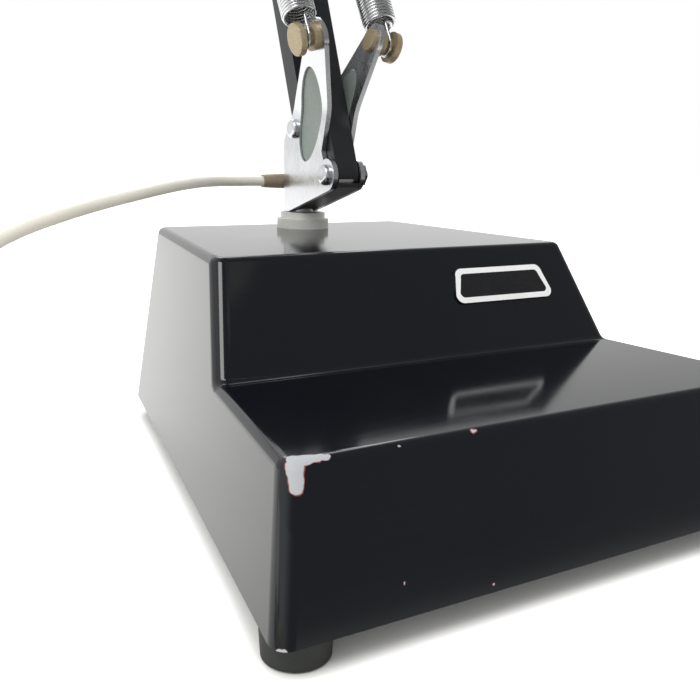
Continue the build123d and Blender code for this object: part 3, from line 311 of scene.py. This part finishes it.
# %% Soft boxes
lit_point = (0, 0.05, 0.06)
soft_boxes = [
    ("left_soft_box", (-0.98, -0.45, 1.3), 0.65, 9),
    ("back_soft_box", (0.5, 1.3, 1.4), 1.0, 9),
]
for name, place, size, power in soft_boxes:
    data = bpy.data.lights.new(name, "AREA")
    data.size = size
    data.energy = power
    lamp = bpy.data.objects.new(name, data)
    lamp.location = place
    lamp.rotation_euler = (Vector(lit_point) - Vector(place)).to_track_quat("-Z", "Y").to_euler()
    scene.collection.objects.link(lamp)
print("soft boxes", len(soft_boxes))

# %% [markdown]
# ## Black stoved enamel
# The base cover, cap and shade are pressed steel, sprayed and baked: a smooth black that is faintly
# blue, with a clear gloss. Years of dusting have left fine level streaks that blur the mirror a
# little, and knocks at the corners have broken the paint down to the pale primer, with a thin red
# line of an older coat along parts of their edge. The streaks are noise stretched along the width,
# about half a millimetre apart. A chip is a short stroke between two places, with a radius at each
# end, and a coarser noise tears its edge.

# %% Places of the chips
chips = [
    ((-88.6, -66.7, 49.7), (-80.4, -67.4, 49.5), 2.2, 0.9),
    ((-89.2, -67.6, 48.6), (-89.6, -69.9, 43.8), 2.3, 1.6),
    ((-36.4, -67.6, 49.5), (-35.6, -67.6, 49.5), 0.6, 0.4),
    ((-98.9, -78.6, 8.2), (-97.5, -79.4, 8.2), 1.1, 0.9),
    ((-60.0, -68.0, 49.1), (-59.6, -68.0, 49.1), 0.3, 0.25),
    ((-63.1, -77.7, 16.2), (-63.1, -77.6, 16.6), 0.2, 0.2),
    ((-36.0, -79.5, 9.9), (-35.6, -79.5, 9.9), 0.2, 0.2),
]
print("chips", len(chips))


# %% Helpers for finishes
def finish(name):
    """A new material with one shader, and its tree."""
    made = bpy.data.materials.new(name)
    made.use_nodes = True
    made.node_tree.nodes.clear()
    shader = add(made.node_tree, "ShaderNodeBsdfPrincipled")
    add(made.node_tree, "ShaderNodeOutputMaterial", (), {"Surface": shader.outputs[0]})
    return made, made.node_tree, shader


def place_in(tree, stretch=(1, 1, 1)):
    """The piece's own coordinates in metres, stretched along its axes."""
    own = add(tree, "ShaderNodeTexCoord").outputs["Object"]
    stretched = {"operation": "MULTIPLY", 1: stretch}
    return add(tree, "ShaderNodeVectorMath", stretched, {0: own}).outputs[0]


def per_mm(spacing):
    """Noise scale for marks that far apart, in millimetres."""
    return per_metre / spacing


print("scale for marks 1 mm apart", per_mm(1))

# %% Edge of the chips
ragged_spacing = 2.2
ragged_reach = 1.3


def chip_gap(tree, place, chip):
    """How far a place lies outside one chip, in metres."""
    first, last, first_radius, last_radius = chip
    root = Vector(first) / per_metre
    run = (Vector(last) - Vector(first)) / per_metre
    away = {"operation": "SUBTRACT", 1: root}
    away = add(tree, "ShaderNodeVectorMath", away, {0: place}).outputs[0]
    along = {"operation": "DOT_PRODUCT", 1: run / run.length_squared}
    along = add(tree, "ShaderNodeVectorMath", along, {0: away}).outputs["Value"]
    along = add(tree, "ShaderNodeClamp", (), {"Value": along}).outputs[0]
    foot = add(tree, "ShaderNodeVectorMath", {"operation": "SCALE", 0: run}, {"Scale": along}).outputs[0]
    apart = add(tree, "ShaderNodeVectorMath", {"operation": "DISTANCE"}, {0: away, 1: foot})
    radius = {"To Min": first_radius / per_metre, "To Max": last_radius / per_metre}
    radius = add(tree, "ShaderNodeMapRange", radius, {"Value": along}).outputs[0]
    outside = {0: apart.outputs["Value"], 1: radius}
    return add(tree, "ShaderNodeMath", {"operation": "SUBTRACT"}, outside).outputs[0]


def torn_edge(tree, own, chip_list):
    """How far a place lies outside the nearest chip, with a ragged edge."""
    ragged = {"Scale": per_mm(ragged_spacing), "Detail": 2.0}
    ragged = add(tree, "ShaderNodeTexNoise", ragged, {"Vector": own}).outputs["Color"]
    shift = {"operation": "SUBTRACT", 1: (0.5, 0.5, 0.5)}
    shift = add(tree, "ShaderNodeVectorMath", shift, {0: ragged}).outputs[0]
    small = {"operation": "SCALE", "Scale": ragged_reach / per_metre}
    shift = add(tree, "ShaderNodeVectorMath", small, {0: shift}).outputs[0]
    torn = add(tree, "ShaderNodeVectorMath", {"operation": "ADD"}, {0: own, 1: shift}).outputs[0]
    edge, *others = [chip_gap(tree, torn, chip) for chip in chip_list]
    for gap in others:
        edge = add(tree, "ShaderNodeMath", {"operation": "MINIMUM"}, {0: edge, 1: gap}).outputs[0]
    return edge


print("chip edges wander by", ragged_reach / 2, "mm")

# %% Paint of the chips
rim_width = 0.3
rim_spacing = 6.0
edge_blur = 0.1
primer_roughness = 0.55


def chipped(tree, own, edge, colour, gloss):
    """The colour and gloss of the paint, with red rims and bare primer inside an edge."""
    patches = {"Scale": per_mm(rim_spacing), "Detail": 1.0}
    patches = add(tree, "ShaderNodeTexNoise", patches, {"Vector": own}).outputs["Fac"]
    width = {"From Min": 0.46, "From Max": 0.62, "To Min": 0.0, "To Max": rim_width / per_metre}
    width = add(tree, "ShaderNodeMapRange", width, {"Value": patches}).outputs[0]
    beyond = add(tree, "ShaderNodeMath", {"operation": "SUBTRACT"}, {0: edge, 1: width}).outputs[0]
    fade = {"From Min": -edge_blur / per_metre, "From Max": edge_blur / per_metre}
    fade.update({"To Min": 1.0, "To Max": 0.0})
    rim = add(tree, "ShaderNodeMapRange", fade, {"Value": beyond}).outputs[0]
    bare = add(tree, "ShaderNodeMapRange", fade, {"Value": edge}).outputs[0]
    red_coat = {"data_type": "RGBA", 7: shade_of("#8a3f38")}
    colour = add(tree, "ShaderNodeMix", red_coat, {0: rim, 6: colour}).outputs[2]
    primer = {"data_type": "RGBA", 7: shade_of("#b9bcbf")}
    colour = add(tree, "ShaderNodeMix", primer, {0: bare, 6: colour}).outputs[2]
    dull = {"data_type": "FLOAT", 3: primer_roughness}
    gloss = add(tree, "ShaderNodeMix", dull, {0: rim, 2: gloss}).outputs[0]
    return colour, gloss


print("rims up to", rim_width, "mm wide")

# %% Enamel
streak_spacing = 0.5
streak_stretch = (0.02, 1, 1)
smear_spacing = 45.0
gloss_low, gloss_high = 0.06, 0.15
paint_bump = 0.01
bump_depth = 0.0002


def enamel_finish(name, chip_list):
    """Glossy black enamel with level streaks, and chips where the list has them."""
    made, tree, shader = finish(name)
    own = place_in(tree)
    level = place_in(tree, streak_stretch)
    streaks = {"Scale": per_mm(streak_spacing), "Detail": 2.0}
    streaks = add(tree, "ShaderNodeTexNoise", streaks, {"Vector": level}).outputs["Fac"]
    smears = {"Scale": per_mm(smear_spacing), "Detail": 3.0}
    smears = add(tree, "ShaderNodeTexNoise", smears, {"Vector": own}).outputs["Fac"]
    worn = add(tree, "ShaderNodeMath", {"operation": "MULTIPLY"}, {0: streaks, 1: smears}).outputs[0]
    blacks = {"data_type": "RGBA", 6: shade_of("#070a10"), 7: shade_of("#0d1219")}
    colour = add(tree, "ShaderNodeMix", blacks, {0: worn}).outputs[2]
    gloss = {"From Max": 0.5, "To Min": gloss_low, "To Max": gloss_high}
    gloss = add(tree, "ShaderNodeMapRange", gloss, {"Value": worn}).outputs[0]
    if chip_list:
        colour, gloss = chipped(tree, own, torn_edge(tree, own, chip_list), colour, gloss)
    height = {"Strength": paint_bump, "Distance": bump_depth}
    height = add(tree, "ShaderNodeBump", height, {"Height": streaks}).outputs[0]
    tree.links.new(colour, shader.inputs["Base Color"])
    tree.links.new(gloss, shader.inputs["Roughness"])
    tree.links.new(height, shader.inputs["Normal"])
    shader.inputs["IOR"].default_value = 1.5
    return made


base_enamel = enamel_finish("black_stoved_enamel_chipped", chips)
head_enamel = enamel_finish("black_stoved_enamel", [])
print("enamel nodes", len(base_enamel.node_tree.nodes), "and", len(head_enamel.node_tree.nodes))

# %% [markdown]
# ## White paint inside the shade
# A shade is sprayed white inside, so that it throws the light down. Shell and lining are one solid,
# so the finish chooses by where the surface faces: a face that looks towards the axis of the shade,
# or down from its shoulder, is lining.

# %% Shade lining
upward_lean = 0.6
lining_limit = -0.05
shade_low, shade_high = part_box("shade")
shade_axis = ((shade_low[0] + shade_high[0]) / 2, (shade_low[1] + shade_high[1]) / 2, 0)
tree = head_enamel.node_tree
shader = next(node for node in tree.nodes if node.type == "BSDF_PRINCIPLED")
black = shader.inputs["Base Color"].links[0].from_socket
coordinates = add(tree, "ShaderNodeTexCoord").outputs
out = {"operation": "SUBTRACT", 1: shade_axis}
out = add(tree, "ShaderNodeVectorMath", out, {0: coordinates["Object"]}).outputs[0]
out = add(tree, "ShaderNodeVectorMath", {"operation": "MULTIPLY", 1: (1, 1, 0)}, {0: out}).outputs[0]
out = add(tree, "ShaderNodeVectorMath", {"operation": "NORMALIZE"}, {0: out}).outputs[0]
lean = {"operation": "ADD", 1: (0, 0, upward_lean)}
out = add(tree, "ShaderNodeVectorMath", lean, {0: out}).outputs[0]
outward = {0: out, 1: coordinates["Normal"]}
outward = add(tree, "ShaderNodeVectorMath", {"operation": "DOT_PRODUCT"}, outward).outputs["Value"]
inside = {"operation": "LESS_THAN", 1: lining_limit}
inside = add(tree, "ShaderNodeMath", inside, {0: outward}).outputs[0]
lining = {"data_type": "RGBA", 7: shade_of("#ecebe4")}
lining = add(tree, "ShaderNodeMix", lining, {0: inside, 6: black}).outputs[2]
tree.links.new(lining, shader.inputs["Base Color"])
print("shade lined round", [round(value, 3) for value in shade_axis])

# %% [markdown]
# ## Plain finishes from one recipe
# The other pieces are single materials: plated steel, nylon, rubber, moulded plastic. Each has a main
# colour and a second one that a fine noise mixes in, a roughness that wanders a little, and a bump of
# the grain that its making leaves. Only the numbers differ, so one recipe makes them. The grain is
# the spacing of the marks in millimetres, and a cloud 25 times as coarse keeps them uneven.

# %% Recipe for a grained finish
cloud_ratio = 25
least_roughness = 0.03


def grained_finish(name, colours, metallic, roughness, grain, stretch=(1, 1, 1), bump=0.1, wander=0.08):
    """A finish of two near colours, with marks of one spacing and a roughness that wanders."""
    made, tree, shader = finish(name)
    marks = {"Scale": per_mm(grain), "Detail": 4.0}
    marks = add(tree, "ShaderNodeTexNoise", marks, {"Vector": place_in(tree, stretch)}).outputs["Fac"]
    cloud = {"Scale": per_mm(grain * cloud_ratio), "Detail": 2.0}
    cloud = add(tree, "ShaderNodeTexNoise", cloud, {"Vector": place_in(tree)}).outputs["Fac"]
    mixed = add(tree, "ShaderNodeMath", {"operation": "MULTIPLY"}, {0: marks, 1: cloud}).outputs[0]
    spread = {"From Min": 0.1, "From Max": 0.42}
    spread = add(tree, "ShaderNodeMapRange", spread, {"Value": mixed}).outputs[0]
    colour = {"data_type": "RGBA", 6: shade_of(colours[0]), 7: shade_of(colours[1])}
    colour = add(tree, "ShaderNodeMix", colour, {0: spread}).outputs[2]
    rough = {"To Min": max(roughness - wander, least_roughness), "To Max": roughness + wander}
    rough = add(tree, "ShaderNodeMapRange", rough, {"Value": spread}).outputs[0]
    height = {"Strength": bump, "Distance": bump_depth}
    height = add(tree, "ShaderNodeBump", height, {"Height": marks}).outputs[0]
    tree.links.new(colour, shader.inputs["Base Color"])
    tree.links.new(rough, shader.inputs["Roughness"])
    tree.links.new(height, shader.inputs["Normal"])
    shader.inputs["Metallic"].default_value = metallic
    return made


print("recipe ready")

# %% [markdown]
# ### Metals
# Sheet and castings are dull and patchy. Zinc plating on bolts is a satin grey. The fork plates are
# bright plated strip, brushed along its length, so their marks are stretched upwards. Spring wire is
# drawn, which leaves it bright. The pins were dipped in a yellow passivate that dulls to tan.

# %% Metal finishes
brushed = (1, 1, 0.04)
finishes = {
    "plate_steel": grained_finish("galvanised_sheet", ("#8d9194", "#b5b8ba"), 1, 0.42, 4.0),
    "ballast_iron": grained_finish("rough_cast_iron", ("#35322f", "#4a4541"), 0.7, 0.75, 1.2, bump=0.5),
    "zinc_steel": grained_finish("zinc_plated_steel", ("#9c9e9f", "#bdbfc0"), 1, 0.4, 0.5),
    "chrome_plate": grained_finish(
        "bright_plated_strip", ("#c8c9cc", "#dddee1"), 1, 0.26, 0.35, stretch=brushed, bump=0.06
    ),
    "tan_pin": grained_finish("yellow_passivated_pin", ("#97876a", "#bcae90"), 0.4, 0.42, 0.7),
    "spring_steel": grained_finish("drawn_spring_wire", ("#c3c4c6", "#e2e3e4"), 1, 0.22, 0.4),
    "brass_bare": grained_finish("bare_brass", ("#b08d4c", "#cfae6c"), 1, 0.28, 0.5),
}
print("metals", len(finishes))

# %% [markdown]
# ### Paint, rubber and plastics
# The bars wear a satin paint and the badge a smooth lacquer. Nylon, rubber and moulded plastic keep a
# fine grain from the mould, the fibre sheet in the ovals is mottled, and the cord's soft sheath is
# the palest of them.

# %% Paint, rubber and plastic finishes
metals = len(finishes)
finishes.update({
    "bar_black": grained_finish("satin_black_bar_paint", ("#15171a", "#1f2226"), 0, 0.42, 0.8, bump=0.06),
    "rubber_black": grained_finish("moulded_rubber", ("#242725", "#353835"), 0, 0.72, 0.6, bump=0.25),
    "pale_nylon": grained_finish("pale_grey_nylon", ("#c9c9c3", "#d9d9d3"), 0, 0.42, 1.0, bump=0.08),
    "white_nylon": grained_finish("white_nylon", ("#d9d8d2", "#e6e5df"), 0, 0.45, 1.0, bump=0.08),
    "inlay_grey": grained_finish("grey_green_fibre_sheet", ("#7f8983", "#98a29c"), 0, 0.55, 0.9, bump=0.15),
    "cord_cream": grained_finish("cream_soft_sheath", ("#eeeadb", "#f7f3e8"), 0, 0.46, 0.9, bump=0.08),
    # The strain relief's tan is painted shade: a darker copy of the cream cord where the fork shades the
    # cord as it leaves the swivel.
    "relief_brown": grained_finish("relief_tan_painted_shade", ("#8b7a66", "#a99a85"), 0, 0.55, 0.7, bump=0.12),
    "badge_black": grained_finish("black_lacquered_plate", ("#101113", "#1a1b1e"), 0, 0.25, 0.5, bump=0.03),
    "plug_cream": grained_finish("cream_moulded_plug", ("#ddd6c2", "#e8e2d0"), 0, 0.35, 1.2, bump=0.1),
    "black_plastic": grained_finish(
        "black_moulded_plastic", ("#131415", "#1e2022"), 0, 0.38, 0.7, bump=0.12
    ),
    "terminal_white": grained_finish("white_terminal_block", ("#d3d1ca", "#e2e0d8"), 0, 0.5, 1.0),
    "black_enamel": head_enamel,
})
print("paints and plastics", len(finishes) - metals)

# %% [markdown]
# ## Frosted bulb
# A small round lamp with an etched inside: glass that lets light through but blurs it, so the socket
# behind shows only as a soft shadow. Full transmission with some roughness gives that, and a fine
# grain keeps the frost from looking like fog.

# %% Bulb glass
frost_spacing = 0.6
frosted, tree, shader = finish("frosted_bulb_glass")
frost = {"Scale": per_mm(frost_spacing), "Detail": 3.0}
frost = add(tree, "ShaderNodeTexNoise", frost, {"Vector": place_in(tree)}).outputs["Fac"]
rough = add(tree, "ShaderNodeMapRange", {"To Min": 0.3, "To Max": 0.5}, {"Value": frost}).outputs[0]
tree.links.new(rough, shader.inputs["Roughness"])
shader.inputs["Base Color"].default_value = shade_of("#f6f6f2")
shader.inputs["Transmission Weight"].default_value = 1.0
shader.inputs["IOR"].default_value = 1.5
finishes["bulb_clear"] = frosted
print("bulb glass ready")

# %% [markdown]
# ## Every solid gets its finish
# The record names a material slot for each piece, and the finishes are kept under the same names. The
# base cover alone differs from its slot: it is the enamel with the chips.

# %% Give every solid its finish
for entry in frame["record"]["subparts"]:
    solid = nodes[entry["node"]]
    solid.data.materials.clear()
    solid.data.materials.append(finishes[entry["material_slot"]])
nodes["base_cover"].data.materials[0] = base_enamel
cord_curve.materials.append(finishes["cord_cream"])
print("finishes", len(finishes) + 1)

# %% [markdown]
# ## Close-wound springs
# The balancing springs are drawn wire wound turn against turn, with a loop at each end that lies in the
# groove of a pin. The solids have far fewer turns, so each pair is wound again here: a loop, a short
# straight, the turns with narrowing ends, a straight and a loop. The line is swept into a tube by carrying
# a small ring of points along it. A pair crosses a joint, between the body that holds its lower pins and
# the bar that holds the upper one.

# %% Line of a spring
wire = 1.35
spring_outer = 14.0
pin_groove = 6.4
loop_slack = 0.25
lead = 8.6
turn_room = 1.03
narrow_turns = 0.8
loop_degrees = 250
loop_steps, lead_steps, turn_steps = 24, 3, 20
loop_radius = (pin_groove + wire) / 2 + loop_slack
turn_radius = (spring_outer - wire) / 2


def spring_line(low, high):
    """Points of one spring's wire from the loop at one pin to the loop at the other."""
    axis = (high - low).normalized()
    side = Vector((1, 0, 0)).cross(axis)
    out = axis.cross(side)
    turns = round(((high - low).length - 2 * lead) / (wire * turn_room))
    pitch = ((high - low).length - 2 * lead) / turns
    line = []
    for step in range(loop_steps + 1):
        angle = radians(-loop_degrees + loop_degrees * step / loop_steps)
        line.append(low + (side * cos(angle) + axis * sin(angle)) * loop_radius)
    for step in range(1, lead_steps + 1):
        line.append(low + side * loop_radius + axis * (lead - wire) * step / lead_steps)
    for step in range(turn_steps * turns + 1):
        wound = step / turn_steps
        ends = min(1, wound / narrow_turns, (turns - wound) / narrow_turns)
        radius = loop_radius + (turn_radius - loop_radius) * ends
        swing = side * cos(2 * pi * wound) + out * sin(2 * pi * wound)
        line.append(low + axis * (lead + pitch * wound) + swing * radius)
    for step in range(lead_steps, 0, -1):
        line.append(high + side * loop_radius - axis * (lead - wire) * step / lead_steps)
    for step in range(loop_steps + 1):
        angle = radians(loop_degrees * step / loop_steps)
        line.append(high + (side * cos(angle) + axis * sin(angle)) * loop_radius)
    return line


print("loops", 2 * loop_radius, "mm, turns", 2 * turn_radius, "mm across at the middle of the wire")

# %% Tube along a line
ring_sides = 7


def tube_into(shaping, line):
    """Sweeps a round wire along points, carrying its ring without twist."""
    way = (line[1] - line[0]).normalized()
    across = way.orthogonal().normalized()
    rings = []
    for i, place in enumerate(line):
        ahead = line[min(i + 1, len(line) - 1)] - line[max(i - 1, 0)]
        way = ahead.normalized()
        across = (across - way * across.dot(way)).normalized()
        beside = way.cross(across)
        ring = []
        for k in range(ring_sides):
            angle = 2 * pi * k / ring_sides
            point = place + (across * cos(angle) + beside * sin(angle)) * wire / 2
            ring.append(shaping.verts.new(point / per_metre))
        rings.append(ring)
    for first, second in zip(rings, rings[1:]):
        for k in range(ring_sides):
            n = (k + 1) % ring_sides
            shaping.faces.new((first[k], first[n], second[n], second[k]))
    shaping.faces.new(rings[0][::-1])
    shaping.faces.new(rings[-1])


print("wire", wire, "mm with", ring_sides, "sides")

# %% Wind the springs
groove_x = 18.3
solid_loop = 5.1


def middle_of(node):
    """The middle of a node's box, in millimetres."""
    low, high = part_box(node)
    return (Vector(low) + Vector(high)) / 2 * per_metre


def spring_pair(name, low, high, node):
    """The left and right springs of one arm, as one piece."""
    shaping = bmesh.new()
    for hand in (1, -1):
        offset = Vector((hand * groove_x, 0, 0))
        tube_into(shaping, spring_line(low + offset, high + offset))
    for face in shaping.faces:
        face.smooth = True
    mesh = bpy.data.meshes.new(name)
    shaping.to_mesh(mesh)
    shaping.free()
    mesh.materials.append(finishes["spring_steel"])
    pair = bpy.data.objects.new(name, mesh)
    scene.collection.objects.link(pair)
    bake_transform(pair)
    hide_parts(node)
    print(name, "points", len(mesh.vertices))


fork_end = middle_of("spring_pins")
fork_end.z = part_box("lower_springs")[0][2] * per_metre + solid_loop
elbow_end = middle_of("elbow_spring_pins")
lower_end = middle_of("lower_cross_pin")
upper_end = middle_of("upper_cross_pin")
spring_pair("lower_springs_wound", fork_end, lower_end, "lower_springs")
spring_pair("upper_springs_wound", elbow_end, upper_end, "upper_springs")

# %% [markdown]
# ## A plain line round the badge
# The badge is a thin black plate with a pale printed line just inside its edge. It is left bare
# inside the line. The line is a flat strip between two rounded outlines, lifted a hair off the plate,
# because a printed line has next to no thickness and a strip keeps its corners even. Screen ink dries
# to a soft sheen, so it is paler and duller than the lacquer.

# %% Outline of the badge
badge_width = 46.0
badge_top_width = 42.0
badge_height = 13.8
badge_thickness = 0.8
line_corner = 3.2
corner_share = 0.6
corner_steps = 8


def rounded_outline(inset):
    """Points round the badge, that far in from its edge, in millimetres."""
    low_half = badge_width / 2 - inset
    high_half = badge_top_width / 2 - inset
    half = badge_height / 2 - inset
    radius = line_corner - inset * corner_share
    corners = [
        (low_half, -half, -90),
        (high_half, half, 0),
        (-high_half, half, 90),
        (-low_half, -half, 180),
    ]
    points = []
    for x, y, start in corners:
        centre_x = x - radius * (1 if x > 0 else -1)
        centre_y = y - radius * (1 if y > 0 else -1)
        for step in range(corner_steps + 1):
            angle = radians(start + 90 * step / corner_steps)
            points.append((centre_x + radius * cos(angle), centre_y + radius * sin(angle)))
    return points


print("badge", badge_width, "by", badge_height, "mm")

# %% Badge line
line_insets = (0.02, 2.2)
line_lift = 0.03
panel_lean = 0.604
panel_up = Vector((0, panel_lean, 1)).normalized()
panel_out = Vector((0, -1, panel_lean)).normalized()
badge_low, badge_high = (Vector(corner) * per_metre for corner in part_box("badge_plate"))
badge_middle = (badge_low + badge_high) / 2 + panel_out * (badge_thickness / 2 + line_lift)
line_paint = grained_finish("pale_screen_ink", ("#f0f0f0", "#fafafa"), 0, 0.4, 0.6, bump=0.05)
shaping = bmesh.new()
loops = []
for inset in line_insets:
    loop = []
    for x, y in rounded_outline(inset):
        place = badge_middle + Vector((x, 0, 0)) + panel_up * y
        loop.append(shaping.verts.new(place / per_metre))
    loops.append(loop)
for i in range(len(loops[0])):
    n = (i + 1) % len(loops[0])
    shaping.faces.new((loops[0][i], loops[0][n], loops[1][n], loops[1][i]))
badge_mesh = bpy.data.meshes.new("badge_line")
shaping.to_mesh(badge_mesh)
shaping.free()
badge_mesh.materials.append(line_paint)
badge_line = bpy.data.objects.new("badge_line", badge_mesh)
scene.collection.objects.link(badge_line)
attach(badge_line, "base")
print("badge line faces", len(badge_mesh.polygons))
